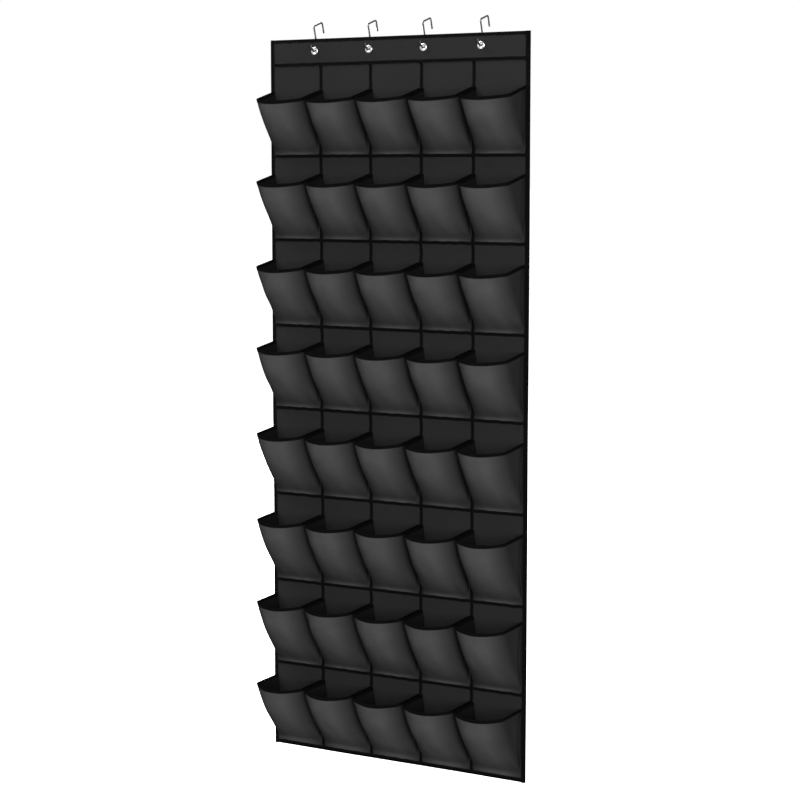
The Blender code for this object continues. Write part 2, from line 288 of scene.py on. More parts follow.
class Shader:
    """A Principled material and short calls that add nodes to it."""

    def __init__(self, name, **sockets):
        self.material = bpy.data.materials.new(name)
        self.material.use_nodes = True
        self.tree = self.material.node_tree
        self.principled = self.tree.nodes["Principled BSDF"]
        for socket, value in sockets.items():
            self.principled.inputs[socket.replace("_", " ")].default_value = value

    def node(self, kind, inputs, **settings):
        node = self.tree.nodes.new(kind)
        for key, value in settings.items():
            setattr(node, key, value)
        for socket, value in inputs.items():
            if isinstance(value, bpy.types.NodeSocket):
                self.tree.links.new(value, node.inputs[socket])
            else:
                node.inputs[socket].default_value = value
        return node

    def math(self, operation, *values):
        return self.node("ShaderNodeMath", dict(enumerate(values)), operation=operation).outputs[0]

    def wave(self, value, bumps=1):
        """Round bumps between 0 and 1, so many to each whole step of a value."""
        return self.math("ABSOLUTE", self.math("SINE", self.math("MULTIPLY", value, bumps * math.pi)))

    def uv(self, scale_u, scale_v):
        """The cloth's own UVs, divided into repeats."""
        source = self.node("ShaderNodeUVMap", {}, uv_map="cloth").outputs[0]
        return self.node("ShaderNodeMapping", {"Vector": source, "Scale": (scale_u, scale_v, 1)}).outputs[0]

    def split(self, vector):
        return self.node("ShaderNodeSeparateXYZ", {0: vector}).outputs

    def noise(self, vector, scale, detail=2.0):
        inputs = {"Vector": vector, "Scale": scale, "Detail": detail}
        return self.node("ShaderNodeTexNoise", inputs).outputs[0]

    def position(self):
        return self.node("ShaderNodeTexCoord", {}).outputs["Object"]

    def spread(self, value, low, high):
        inputs = {"Value": value, "To Min": low, "To Max": high}
        return self.node("ShaderNodeMapRange", inputs).outputs[0]

    def varied(self, shade, value, low, high):
        """A shade times a value spread between two levels."""
        return self.math("MULTIPLY", shade, self.spread(value, low, high))

    def finish(self, colour, shade, roughness, height, depth, strength):
        """Base colour times shade, roughness, and a bump of a height between 0 and 1."""
        tinted = self.node("ShaderNodeVectorMath", {0: colour, "Scale": shade}, operation="SCALE").outputs[0]
        bump = self.node("ShaderNodeBump", {"Height": height, "Strength": strength, "Distance": depth})
        self.tree.links.new(tinted, self.principled.inputs["Base Color"])
        self.tree.links.new(roughness, self.principled.inputs["Roughness"])
        self.tree.links.new(bump.outputs[0], self.principled.inputs["Normal"])
        return self.material


def woven_cloth(name, colour, yarn, roughness, deepest_painted_shade=None):
    """Plain weave along the cloth's UVs, with uneven dye, slubs and a little lint, and painted shade in the
    hollows between the yarns.

    The last argument is the darkest painted shade: the share of the colour kept where the mesh's painted
    shading attribute is 0, in the folds, at the seams and inside a pocket.
    """
    shader = Shader(name, Specular_IOR_Level=CLOTH_GLOSS)
    repeats = shader.uv(1 / yarn, 1 / yarn)
    u, v, _ = shader.split(repeats)
    warp = shader.wave(u)
    weft = shader.wave(v)
    over = shader.node("ShaderNodeTexChecker", {"Vector": repeats, "Scale": 1.0}).outputs["Fac"]
    height = shader.math("MULTIPLY_ADD", over, shader.math("SUBTRACT", warp, weft), weft)
    slubs = shader.noise(shader.uv(*SLUBS), 1.0)
    dye = shader.noise(shader.position(), DYE, 4.0)
    lint = shader.noise(shader.position(), LINT, 3.0)
    # Painted shade: the weave's hollows are darker than its raised yarns
    shade = shader.spread(height, 0.82, 1.14)
    shade = shader.varied(shade, slubs, 0.86, 1.14)
    shade = shader.varied(shade, dye, 0.88, 1.12)
    shade = shader.varied(shade, lint, 0.90, 1.10)
    # Painted shade from the mesh's attribute: darker in the folds, at the seams, towards the floor, towards
    # the rim, close to the panel and inside the pockets
    if deepest_painted_shade is not None:
        fading = shader.node("ShaderNodeAttribute", {}, attribute_name="fading").outputs["Fac"]
        shade = shader.varied(shade, fading, deepest_painted_shade, 1.0)
    rough = shader.spread(lint, roughness - 0.08, roughness + 0.08)
    return shader.finish(colour, shade, rough, height, yarn * WEAVE_RELIEF, 0.5)


def ribbed_tape(name, colour, rib, roughness):
    """Grosgrain: ribs across the tape, along the UVs' first direction, with paler crests and painted shade
    in the grooves, and patches of wear.
    """
    shader = Shader(name, Specular_IOR_Level=CLOTH_GLOSS)
    u, v, _ = shader.split(shader.uv(1 / rib, 1 / rib))
    ribs = shader.wave(u)
    yarns = shader.wave(v, bumps=2)
    height = shader.math("MULTIPLY_ADD", yarns, 0.3, ribs)
    wear = shader.noise(shader.position(), WEAR, 4.0)
    # Painted shade: the grooves between ribs are darker than the crests
    shade = shader.spread(height, 0.75, 1.15)
    shade = shader.varied(shade, wear, 0.80, 1.25)
    rough = shader.spread(wear, roughness - 0.1, roughness + 0.08)
    return shader.finish(colour, shade, rough, height, rib * RIB_RELIEF, 0.6)


def spun_thread(name, colour):
    """Twisted polyester thread: slanting strands round each stitch, with painted shade between the strands.
    """
    shader = Shader(name, Specular_IOR_Level=THREAD_GLOSS)
    u, v, _ = shader.split(shader.uv(1 / STRAND, 1 / STRAND))
    strands = shader.wave(shader.math("ADD", u, v))
    fuzz = shader.noise(shader.position(), FUZZ)
    # Painted shade: the grooves between strands are darker than their crests
    shade = shader.varied(shader.spread(strands, 0.7, 1.2), fuzz, 0.85, 1.15)
    return shader.finish(colour, shade, shader.spread(fuzz, 0.55, 0.75), strands, STRAND_RELIEF, 0.6)


def plated_metal(name, colour, roughness, streaks):
    """Plated metal with fine streaks along its UVs' first direction and faint dull patches."""
    shader = Shader(name, Metallic=1.0)
    lines = shader.noise(shader.uv(STREAKS_ALONG, streaks), 1.0, 3.0)
    patches = shader.noise(shader.position(), TARNISH, 3.0)
    shade = shader.varied(shader.spread(lines, 0.88, 1.08), patches, 0.90, 1.08)
    dulled = shader.spread(patches, roughness, roughness + 0.1)
    rough = shader.math("ADD", shader.spread(lines, -0.06, 0.08), dulled)
    return shader.finish(colour, shade, rough, lines, STREAK_RELIEF, 0.35)


PANEL_CLOTH = woven_cloth("panel_cloth", (0.0165, 0.0165, 0.0167), YARN, 0.88)
# The pocket cloth has painted shade: down to 0.15 of its colour in its folds, at its seams and inside the
# pockets
POCKET_CLOTH = woven_cloth("pocket_cloth", (0.0540, 0.0540, 0.0545), YARN, 0.80, deepest_painted_shade=0.15)
TAPE = ribbed_tape("binding_tape_weave", (0.0030, 0.0030, 0.0031), RIB, 0.80)
THREAD = spun_thread("black_thread", (0.0060, 0.0060, 0.0062))
NICKEL = plated_metal("nickel_plate", (0.86, 0.85, 0.83), 0.16, 900)
ZINC = plated_metal("zinc_wire", (0.12, 0.12, 0.125), 0.26, 1400)


# Thread

STITCH_PITCH = 0.0042
STITCH_LENGTH = 0.0032
STITCH_RADIUS = 0.00028
STITCH_SIDES = 6
STITCH_FLATNESS = 1.3
STITCH_STATIONS = ((-0.36, 0.8), (0.0, 1.0), (0.36, 0.8))


def stitch_template():
    """One stitch lying along X, its height along Y: points, and faces as point numbers.

    Its stations are places along it and girths, as shares of its length and of its radius.
    """
    around = [math.radians(360 / STITCH_SIDES * step) for step in range(STITCH_SIDES)]
    points = [(-0.5 * STITCH_LENGTH, 0.0, 0.0)]
    for place_along, girth in STITCH_STATIONS:
        height = girth * STITCH_RADIUS
        width = STITCH_FLATNESS * height
        points += [(place_along * STITCH_LENGTH, height * math.sin(a), width * math.cos(a)) for a in around]
    points.append((0.5 * STITCH_LENGTH, 0.0, 0.0))
    faces = []
    last = 1 + STITCH_SIDES * (len(STITCH_STATIONS) - 1)
    for step in range(STITCH_SIDES):
        following = (step + 1) % STITCH_SIDES
        faces.append((0, 1 + step, 1 + following))
        for low in range(1, last, STITCH_SIDES):
            high = low + STITCH_SIDES
            faces.append((low + step, high + step, high + following, low + following))
        faces.append((last + step, len(points) - 1, last + following))
    return np.array(points), faces


STITCH_POINTS, STITCH_FACES = stitch_template()


def stitches_along(path, outward):
    """Points of every stitch along a path, stitches by points."""
    run = lengths_along(path)
    count = int(run[-1] / STITCH_PITCH)
    centres = (np.arange(count) + 0.5) * STITCH_PITCH

    def at(values, where):
        return np.stack([np.interp(where, run, values[:, axis]) for axis in range(3)], axis=-1)

    half = STITCH_LENGTH / 2
    along = unit(at(path, centres + half) - at(path, centres - half))
    up = at(outward, centres)
    up = unit(up - along * np.sum(up * along, axis=-1, keepdims=True))
    side = np.cross(along, up)
    basis = np.stack([along, up, side], axis=1)
    return at(path, centres)[:, None, :] + np.einsum("pk,skd->spd", STITCH_POINTS, basis)


def sew(name, lines):
    """All the stitches of some lines, each a path and its outward directions, as one piece of thread."""
    points = np.concatenate([stitches_along(path, outward) for path, outward in lines])
    size = len(STITCH_POINTS)
    starts = range(0, len(points) * size, size)
    faces = [tuple(start + i for i in face) for start in starts for face in STITCH_FACES]
    mesh = bpy.data.meshes.new(name)
    mesh.from_pydata(points.reshape(-1, 3).tolist(), [], faces)
    flat = STITCH_POINTS[[i for face in STITCH_FACES for i in face]][:, [0, 2]]
    mesh.uv_layers.new(name="cloth").data.foreach_set("uv", np.tile(flat.ravel(), len(points)))
    mesh.shade_smooth()
    keep(link(name, mesh, THREAD), "binding_tape")


# Back sheet and header

HOLE_RADIUS = 0.0065
HOLE_SIDES = 32
CUTTER_LENGTH = 0.02
EDGE_INSET = 0.0018
SHEET_STEP = 0.006


def spaced(start, end, step):
    return np.linspace(start, end, 2 + int(abs(end - start) / step))


def flat_sheet(name, x_range, z_range, front, thickness):
    """A hanging sheet whose front is at one distance, with its ripples and puckers."""
    x, z = np.meshgrid(spaced(*x_range, SHEET_STEP), spaced(*z_range, SHEET_STEP))
    points = place(x, front + ripple(x, z) + pucker(x, z), z)
    sheet = grid_object(name, points, np.stack([x, z], axis=-1), PANEL_CLOTH)
    thicken(sheet, thickness, offset=-1.0)
    return sheet


def cut_grommet_holes(sheet):
    cutters = []
    for number, pivot in enumerate(PIVOTS.values(), start=1):
        bpy.ops.mesh.primitive_cylinder_add(
            vertices=HOLE_SIDES,
            radius=HOLE_RADIUS,
            depth=CUTTER_LENGTH,
            location=(pivot[X], PANEL_Y, PIVOT_Z),
            rotation=(math.pi / 2, 0, 0),
        )
        cutters.append(bpy.context.active_object)
        cut = sheet.modifiers.new(f"hole_{number}", "BOOLEAN")
        cut.operation = "DIFFERENCE"
        cut.object = cutters[-1]
    apply_modifiers(sheet)
    for cutter in cutters:
        bpy.data.objects.remove(cutter, do_unlink=True)


def build_sheets():
    across = (PANEL_LEFT + EDGE_INSET, PANEL_RIGHT - EDGE_INSET)
    up = (PANEL_BOTTOM + EDGE_INSET, PANEL_TOP - EDGE_INSET)
    sheet = flat_sheet("back_sheet", across, up, SHEET_FRONT, SHEET_THICKNESS)
    cut_grommet_holes(sheet)
    keep(sheet, "panel_fabric", "back_panel")
    up = (HEADER_LINE - TAPE_WIDTH / 2, PANEL_TOP - EDGE_INSET)
    header = flat_sheet("header_layer", across, up, HEADER_FRONT, HEADER_THICKNESS)
    cut_grommet_holes(header)
    keep(header, "panel_fabric", "header_band")


# Tapes and bindings

TAPE_STEP = 0.003
STACK_STEP = 0.001
STACK_MARGIN = 0.01
DRAPE_REACH = 3
TUCK_BELOW_LINE = 0.003
RIM_FOLD_RISE = 0.001
RIBBON_STEPS = 20
SELVEDGE_POWER = 0.35
FACE_POWER = 0.7


def seam_heights(z):
    """Front of whatever lies under a tape that runs down a seam, softened as cloth drapes over it."""
    strip_front = STRIP_LAYER + CLOTH_THICKNESS / 2
    tape_front = STRIP_TOP + CLEARANCE + TAPE_THICKNESS
    heights = np.full(z.shape, SHEET_FRONT)
    for row, line in enumerate(ROW_LINES):
        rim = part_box(f"pocket_row_{row + 1}")[1][Z]
        heights[(z > line - TUCK_BELOW_LINE) & (z < rim)] = strip_front
        heights[(z > line) & (z < line + FLAT_HEIGHT)] = STRIP_TOP
        heights[(z > rim - TRIM_HEIGHT) & (z < rim + RIM_FOLD_RISE)] = strip_front + TAPE_THICKNESS
        heights[abs(z - line) < TAPE_WIDTH / 2] = tape_front
    heights[z > HEADER_LINE - TAPE_WIDTH / 2] = tape_front
    shifts = range(-DRAPE_REACH, DRAPE_REACH + 1)
    raised = np.max([np.roll(heights, shift) for shift in shifts], axis=0)
    return np.mean([np.roll(raised, shift) for shift in shifts], axis=0)


STACK_Z = np.arange(PANEL_BOTTOM - STACK_MARGIN, PANEL_TOP + STACK_MARGIN, STACK_STEP)
STACK_FRONT = seam_heights(STACK_Z)


def drape(z):
    return np.interp(z, STACK_Z, STACK_FRONT)


def ribbon_section(width):
    """A flat tape's section with rounded selvedges, as across and outward distances."""
    angle = np.linspace(0, 2 * math.pi, RIBBON_STEPS, endpoint=False) + math.pi / RIBBON_STEPS
    across = np.sign(np.cos(angle)) * np.abs(np.cos(angle)) ** SELVEDGE_POWER
    outward = np.sign(np.sin(angle)) * np.abs(np.sin(angle)) ** FACE_POWER
    return np.stack([across * width / 2, outward * TAPE_THICKNESS / 2], axis=-1)


def ring_uv(points, run):
    """UVs of a ring swept along a path: the distance run, and the distance round the first ring."""
    closed = np.concatenate([points[0], points[0][:1]])
    around = lengths_along(closed)
    return np.stack(np.broadcast_arrays(run[:, None], around[None, :]), axis=-1)


def ribbon(name, centre, across, width, node):
    """A tape along a path of centre points, its width along a fixed direction and its face towards -Y."""
    section = ribbon_section(width)
    outward = np.array([0.0, -1.0, 0.0])
    points = centre[:, None, :] + section[None, :, :1] * across + section[None, :, 1:] * outward
    tape = grid_object(name, points, ring_uv(points, lengths_along(centre)), TAPE, ring=True, capped=True)
    keep(tape, "binding_tape", node)


def facing(path, direction):
    return np.broadcast_to(np.array(direction, float), path.shape)


def sew_tape(name, centre, across, width):
    """Two lines of stitches along a tape's front, and the same two on the back of the sheet."""
    lines = []
    for side in (-1, 1):
        offset = side * (width / 2 - STITCH_INSET) * across
        front = centre + offset + np.array([0.0, -TAPE_THICKNESS / 2, 0.0])
        lines.append((front, facing(front, (0, -1, 0))))
        x, z = front[:, X], front[:, Z]
        rear_face = SHEET_FRONT - SHEET_THICKNESS + ripple(x, z) + pucker(x, z)
        back = place(x, rear_face, z)
        lines.append((back, facing(back, (0, 1, 0))))
    sew(name, lines)


def build_tapes():
    side = np.array([1.0, 0.0, 0.0])
    up = np.array([0.0, 0.0, 1.0])
    low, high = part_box("header_tape")
    x = spaced(low[X], high[X], TAPE_STEP)
    level_tapes = {"header_tape": HEADER_LINE}
    level_tapes.update({f"row_tape_{row}": line for row, line in enumerate(ROW_LINES[:-1], start=1)})
    for name, line in level_tapes.items():
        wander = EDGE_WANDER * EDGE_WAVES(x, line)
        centre = place(x, STRIP_TOP + CLEARANCE + TAPE_THICKNESS / 2 + ripple(x, line), line + wander)
        ribbon(f"{name}_ribbon", centre, up, TAPE_WIDTH, name)
        sew_tape(f"{name}_thread", centre, up, TAPE_WIDTH)
    for column, seam in enumerate(INNER_SEAMS, start=1):
        name = f"column_tape_{column}"
        low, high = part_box(name)
        z = spaced(low[Z], high[Z], TAPE_STEP)
        wander = EDGE_WANDER * EDGE_WAVES(seam, z)
        centre = place(seam + wander, drape(z) + CLEARANCE + TAPE_THICKNESS / 2 + ripple(seam, z), z)
        ribbon(f"{name}_ribbon", centre, side, COLUMN_TAPE_WIDTH, name)
        sew_tape(f"{name}_thread", centre, side, COLUMN_TAPE_WIDTH)


FOLD_FRONT = 0.0019
FOLD_REAR = -0.00115
BINDING_THICKNESS = 0.0005
FOLD_STEPS = 8
FLANGE_STEPS = 6
FLANGE_RISE_END = 0.0045


def fold_arc(radius):
    """Round the panel's edge from front to rear, as inward and front distances."""
    centre = (FOLD_FRONT - FOLD_REAR) / 2
    middle_plane = (FOLD_FRONT + FOLD_REAR) / 2
    angle = np.linspace(math.pi / 2, 3 * math.pi / 2, FOLD_STEPS)
    return np.stack([centre + radius * np.cos(angle), middle_plane + radius * np.sin(angle)], axis=-1)


def binding_section(width, front):
    """The folded tape's closed section: its outer side from front to rear, and its inner side back."""
    radius = (FOLD_FRONT - FOLD_REAR) / 2
    inward = np.linspace(width, radius, FLANGE_STEPS, endpoint=False)
    rise = ease((inward - radius) / (FLANGE_RISE_END - radius))
    flange = np.stack([inward, FOLD_FRONT + (front - FOLD_FRONT) * rise], axis=-1)
    rear = np.array([[width / 2, FOLD_REAR], [width, FOLD_REAR]])
    outer = np.concatenate([flange, fold_arc(radius), rear])
    thin = np.array([0.0, BINDING_THICKNESS])
    inner = np.concatenate([flange - thin, fold_arc(radius - BINDING_THICKNESS), rear + thin])
    return np.concatenate([outer, inner[::-1]])


def binding(name, run, edge, inward, widths, fronts, along_x):
    """A binding along one edge of the panel.

    Run is the place along the edge, and inward is the sign of the way to the panel's middle.
    """
    sections = np.array([binding_section(width, front) for width, front in zip(widths, fronts)])
    inset = edge + inward * sections[:, :, 0]
    run_grid = np.broadcast_to(run[:, None], inset.shape)
    x, z = (run_grid, inset) if along_x else (inset, run_grid)
    points = place(x, sections[:, :, 1] + ripple(x, z), z)
    tape = grid_object(f"{name}_tape", points, ring_uv(points, run - run[0]), TAPE, ring=True, capped=True)
    keep(tape, "binding_tape", name)
    stitch_inset = edge + inward * (np.array(widths) - STITCH_INSET)
    lines = []
    for front, direction in ((np.array(fronts), -1), (np.full(len(run), FOLD_REAR), 1)):
        x, z = (run, stitch_inset) if along_x else (stitch_inset, run)
        path = place(x, front + ripple(x, z), z)
        lines.append((path, facing(path, (0, direction, 0))))
    sew(f"{name}_thread", lines)


def build_bindings():
    z = spaced(PANEL_BOTTOM, PANEL_TOP, TAPE_STEP)
    for name, edge, inward in (("left_binding", PANEL_LEFT, 1), ("right_binding", PANEL_RIGHT, -1)):
        widths = BINDING_WIDTH + EDGE_WANDER * EDGE_WAVES(edge, z)
        fronts = np.maximum(drape(z), STRIP_LAYER) + CLEARANCE + TAPE_THICKNESS
        binding(name, z, edge, inward, widths, fronts, along_x=False)
    low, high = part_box("top_binding")
    x = spaced(low[X], high[X], TAPE_STEP)
    for name, edge, inward, width, front in (
        ("top_binding", PANEL_TOP, -1, TOP_BINDING_WIDTH, HEADER_FRONT + CLEARANCE + TAPE_THICKNESS),
        ("bottom_binding", PANEL_BOTTOM, 1, BINDING_WIDTH, STRIP_TOP + CLEARANCE + TAPE_THICKNESS),
    ):
        widths = width + EDGE_WANDER * EDGE_WAVES(x, edge)
        binding(name, x, edge, inward, widths, np.full(len(x), front), along_x=True)


# Pocket strips

SEAM_LAND = 0.0054
PLEAT_SLOPE = 0.24
PLEAT_DEPTH = 0.009
PLEAT_FADE = 0.45
CORNER_LEAN = 0.0004
CORNER_RADIUS = 0.010
BELLY_CORNER_RADIUS = 0.016
RIM_CROWN = 0.024
BELLY_CROWN = 0.018
RIM_SAG = 0.006
DEPTH_BOW = 0.50
FLOOR_EASE = 0.04
FOLD_REACH = 0.003
FOLD_SHARE = 0.4
TURN_SHARE = 0.5
FREE_DEPTH = 0.03
WRINKLE_SLANT = 0.3

# Points of half a section, and rows of a strip
LAND_POINTS = 4
FOLD_POINTS = 5
GUSSET_POINTS = 8
TURN_POINTS = 9
FRONT_POINTS = 11
WALL_ROWS = 30
FLAT_ROWS = 4

# How the painted shade on the pocket cloth is spread: lengths, levels between floor and rim, and shares
PAINTED_SHADE_WIDTH = 0.050
PAINTED_CREASE_SHADE_WIDTH = 0.010
PAINTED_CREASE_SHADE_SHARE = 0.12
PAINTED_LOW_SHADE_LEVEL = 0.30
FLOOR_PAINTED_SHADE = 0.7
GUSSET_PAINTED_SHADE = 0.25
CREVICE_DEPTH = 0.02
PAINTED_RIM_SHADE_LEVEL = 0.70
PAINTED_RIM_SHADE = 0.25


class Row:
    """The sizes of one row of pockets, read from its CAD nodes."""

    def __init__(self, number):
        strip_low, strip_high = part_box(f"pocket_row_{number}")
        trim_low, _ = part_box(f"pocket_trim_{number}")
        self.number = number
        self.floor = max(ROW_LINES[number - 1], strip_low[Z]) + FLAT_HEIGHT
        tucked_edge = PANEL_BOTTOM + BINDING_WIDTH / 2
        self.sewn_edge = strip_low[Z] if number < ROWS else tucked_edge
        self.seam_rim = strip_high[Z]
        self.front_rim = trim_low[Z] + TRIM_HEIGHT + RIM_SAG
        front = PANEL_Y - strip_low[Y]
        self.depth = front - STRIP_MIDDLE - STRIP_HALF_THICKNESS - RIM_CROWN


def opened(level):
    """How far a pocket stands open at a level, 0 at its floor and 1 at its rim, with a soft start."""
    bowed = level + DEPTH_BOW * level * (1 - level)
    full = math.sqrt(1 + FLOOR_EASE**2) - FLOOR_EASE
    return (math.sqrt(bowed**2 + FLOOR_EASE**2) - FLOOR_EASE) / full


def between(start, end, count):
    share = np.linspace(0, 1, count, endpoint=False)[:, None]
    return start + (end - start) * share


def curve(start, control, end, count):
    t = np.linspace(0, 1, count, endpoint=False)[:, None]
    return (1 - t) ** 2 * start + 2 * t * (1 - t) * control + t**2 * end


def half_section(row, level):
    """Half a pocket at one level, from its seam to its middle.

    Each station is its distance from the seam, its distance in front of the land, and the height of the
    rim above it. The cloth runs along the panel to the pleat's fold, back out to the front corner, and
    across the crowned front.
    """
    half_pitch = PITCH / 2
    depth = row.depth * opened(level) + 2 * LAYER_STEP * (1 - level)
    corner = SEAM_LAND + CORNER_LEAN
    swell = math.sin(math.pi * level)
    crown = RIM_CROWN * level + BELLY_CROWN * swell
    rounding = CORNER_RADIUS + BELLY_CORNER_RADIUS * swell
    below_rim = (1 - level) * (row.front_rim - row.floor)
    pleat = PLEAT_DEPTH * math.tanh(PLEAT_SLOPE * below_rim / PLEAT_DEPTH) * ease(level / PLEAT_FADE)
    root = SEAM_LAND + pleat

    def front(share):
        bulge = 1 - (1 - share) ** 2
        across = corner + (half_pitch - corner) * share
        return np.stack([across, depth + crown * bulge, row.front_rim - RIM_SAG * bulge], axis=-1)

    first = rounding / (half_pitch - corner)
    slope = 2 * (1 - first) * first
    leaving = front(np.array(first))
    seam = np.array([0.0, 0.0, row.seam_rim])
    fold = np.array([root, LAYER_STEP / 2, row.seam_rim])
    turn = np.array([corner, leaving[1] - crown * slope, leaving[2] + RIM_SAG * slope])
    gusset = turn - fold
    gusset_length = np.linalg.norm(gusset[:2])
    fold_reach = min(FOLD_REACH, FOLD_SHARE * gusset_length, FOLD_SHARE * root)
    into_fold = fold + (seam - fold) * fold_reach / np.linalg.norm((seam - fold)[:2])
    out_of_fold = fold + gusset * fold_reach / gusset_length
    into_turn = turn - gusset * min(rounding, TURN_SHARE * gusset_length) / gusset_length
    return np.concatenate([
        between(seam, into_fold, LAND_POINTS),
        curve(into_fold, fold, out_of_fold, FOLD_POINTS),
        between(out_of_fold, into_turn, GUSSET_POINTS),
        curve(into_turn, turn, leaving, TURN_POINTS),
        front(np.linspace(first, 1, FRONT_POINTS)),
    ])


def strip_section(row, level):
    """All the pockets of a row at one level, as X, distance in front and rim height."""
    half = half_section(row, level)
    mirrored = half[-2:0:-1]
    line = []
    for left, right in zip(SEAMS, SEAMS[1:]):
        line.append(half + (left, 0, 0))
        line.append(mirrored * (-1, 1, 1) + (right, 0, 0))
    closing = half[:1] + (SEAMS[-1], 0, 0)
    return np.concatenate([*line, closing])


def painted_shade(x, front, level):
    """The cloth's brightness under painted shade at one level: lowest in the folds and at the seams, highest
    over the belly.
    """
    # Painted shade: darker near the seams and folds, towards the floor, towards the rim, and where the cloth
    # lies close to the panel above the lowest part of the wall
    from_seam = np.abs(x[:, None] - np.array(SEAMS)).min(axis=1)
    from_fold = from_seam - SEAM_LAND
    sideways = PAINTED_CREASE_SHADE_SHARE * ease(from_fold / PAINTED_CREASE_SHADE_WIDTH)
    sideways += (1 - PAINTED_CREASE_SHADE_SHARE) * ease(from_fold / PAINTED_SHADE_WIDTH)
    upwards = FLOOR_PAINTED_SHADE + (1 - FLOOR_PAINTED_SHADE) * ease(level / PAINTED_LOW_SHADE_LEVEL)
    rim = 1 - PAINTED_RIM_SHADE * ease((level - PAINTED_RIM_SHADE_LEVEL) / (1 - PAINTED_RIM_SHADE_LEVEL))
    open_cloth = np.maximum(ease(front / CREVICE_DEPTH), 1 - ease(level / PAINTED_LOW_SHADE_LEVEL))
    return GUSSET_PAINTED_SHADE * open_cloth + (1 - GUSSET_PAINTED_SHADE) * sideways * upwards * rim


def paint_strip_shading(strip, grid, fading):
    """Gives the strip's outer side its painted shade, and leaves the side inside the pockets at 0, the
    darkest painted shade.
    """
    outward = unit(np.cross(np.gradient(grid, axis=1), np.gradient(grid, axis=0))).reshape(-1, 3)
    vertices = strip.data.vertices
    normals = np.empty(3 * len(vertices))
    vertices.foreach_get("normal", normals)
    outwardness = (normals.reshape(2, -1, 3) * outward).sum(axis=-1)
    values = np.where(outwardness > 0, fading.ravel(), 0.0)
    strip.data.attributes.new("fading", "FLOAT", "POINT").data.foreach_set("value", values.ravel())


def strip_grid(row):
    """The strip's middle surface, rows upwards by columns across, its UVs in metres, and its painted shade.
    """
    flat = [(0.0, z) for z in np.linspace(row.sewn_edge, row.floor, FLAT_ROWS, endpoint=False)]
    wall = [(level, None) for level in np.linspace(0, 1, WALL_ROWS)]
    rows = []
    fading = []
    for level, fixed_z in flat + wall:
        x, front, rim = strip_section(row, level).T
        fading.append(painted_shade(x, front, level))
        z = np.full(x.shape, fixed_z) if fixed_z is not None else row.floor + level * (rim - row.floor)
        free = ease(front / FREE_DEPTH)
        wrinkle = WRINKLE_HEIGHT * free * WRINKLE_WAVES(x + WRINKLE_SLANT * z, z + row.number)
        rows.append(place(x, STRIP_LAYER + front + ripple(x, z) + wrinkle, z))
    grid = np.array(rows)
    along = lengths_along(grid[-1])
    up = lengths_along(grid)
    return grid, np.stack(np.broadcast_arrays(along[None, :], up), axis=-1), np.array(fading)


# Rim tapes

RIM_TAPE_THICKNESS = 0.0005
RIM_TAPE_GAP = 0.00005
RIM_FOLD_STEPS = 6


def rim_section():
    """The tape folded over the rim, outer side then inner.

    Each point is its height above the rim and its distance outwards.
    """
    inner = CLOTH_THICKNESS / 2 + RIM_TAPE_GAP
    outer = inner + RIM_TAPE_THICKNESS
    angle = np.linspace(0, math.pi, RIM_FOLD_STEPS)

    def side(radius):
        arc = np.stack([radius * np.sin(angle), radius * np.cos(angle)], axis=-1)
        down = [(-TRIM_HEIGHT, radius), (-TRIM_HEIGHT / 2, radius)]
        return np.concatenate([down, arc, [(h, -r) for h, r in reversed(down)]])

    return np.concatenate([side(outer), side(inner)[::-1]])


def build_rim_tape(row, grid):
    rim = grid[-1]
    along = unit(np.gradient(rim, axis=0))
    up = unit(rim - grid[-3])
    outward = unit(np.cross(along, up))
    section = rim_section()
    points = rim[:, None] + section[None, :, :1] * up[:, None] + section[None, :, 1:] * outward[:, None]
    name = f"rim_tape_{row.number}"
    tape = grid_object(name, points, ring_uv(points, lengths_along(rim)), TAPE, ring=True, capped=True)
    keep(tape, "binding_tape", f"pocket_trim_{row.number}")
    face = CLOTH_THICKNESS / 2 + RIM_TAPE_THICKNESS
    stitch_line = rim - up * (TRIM_HEIGHT - STITCH_INSET)
    sew(f"{name}_thread", [(stitch_line + side * face * outward, side * outward) for side in (1, -1)])


def build_pockets():
    for number in range(1, ROWS + 1):
        row = Row(number)
        grid, uv, fading = strip_grid(row)
        strip = grid_object(f"pocket_strip_{number}", grid, uv, POCKET_CLOTH)
        thicken(strip, CLOTH_THICKNESS)
        paint_strip_shading(strip, grid, fading)
        keep(strip, "pocket_fabric", f"pocket_row_{number}")
        build_rim_tape(row, grid)


# Grommets

GROMMET_RADIUS = 0.010
BORE_RADIUS = 0.005
FLANGE_HEIGHT = 0.0016
WASHER_HEIGHT = 0.0009
WASHER_PLAY = 0.0009
BARREL_CURL = 0.0004
BARREL_WALL = 0.0008
SEAT_SINK = 0.0001
TURN_STEPS = 64
CREST_STEPS = 14
WASHER_STEPS = 10
WELD_DISTANCE = 1e-6


def weld(mesh):
    work = bmesh.new()
    work.from_mesh(mesh)
    bmesh.ops.remove_doubles(work, verts=work.verts, dist=WELD_DISTANCE)
    work.to_mesh(mesh)
    work.free()


def turned(name, profile, pivot, replaced):
    """A closed profile of radii and distances in front, turned round a grommet's axis."""
    profile = np.array(profile)
    angle = np.linspace(0, 2 * math.pi, TURN_STEPS + 1)
    radius = profile[None, :, 0]
    x = pivot[X] + radius * np.cos(angle)[:, None]
    z = pivot[Z] + radius * np.sin(angle)[:, None]
    points = place(x, np.broadcast_to(profile[None, :, 1], x.shape), z)
    run = angle * GROMMET_RADIUS
    ring = grid_object(name, points, ring_uv(points, run), NICKEL, ring=True)
    weld(ring.data)
    face_outwards(ring.data)
    ring.data.shade_smooth()
    keep(ring, "grommet_metal", replaced)


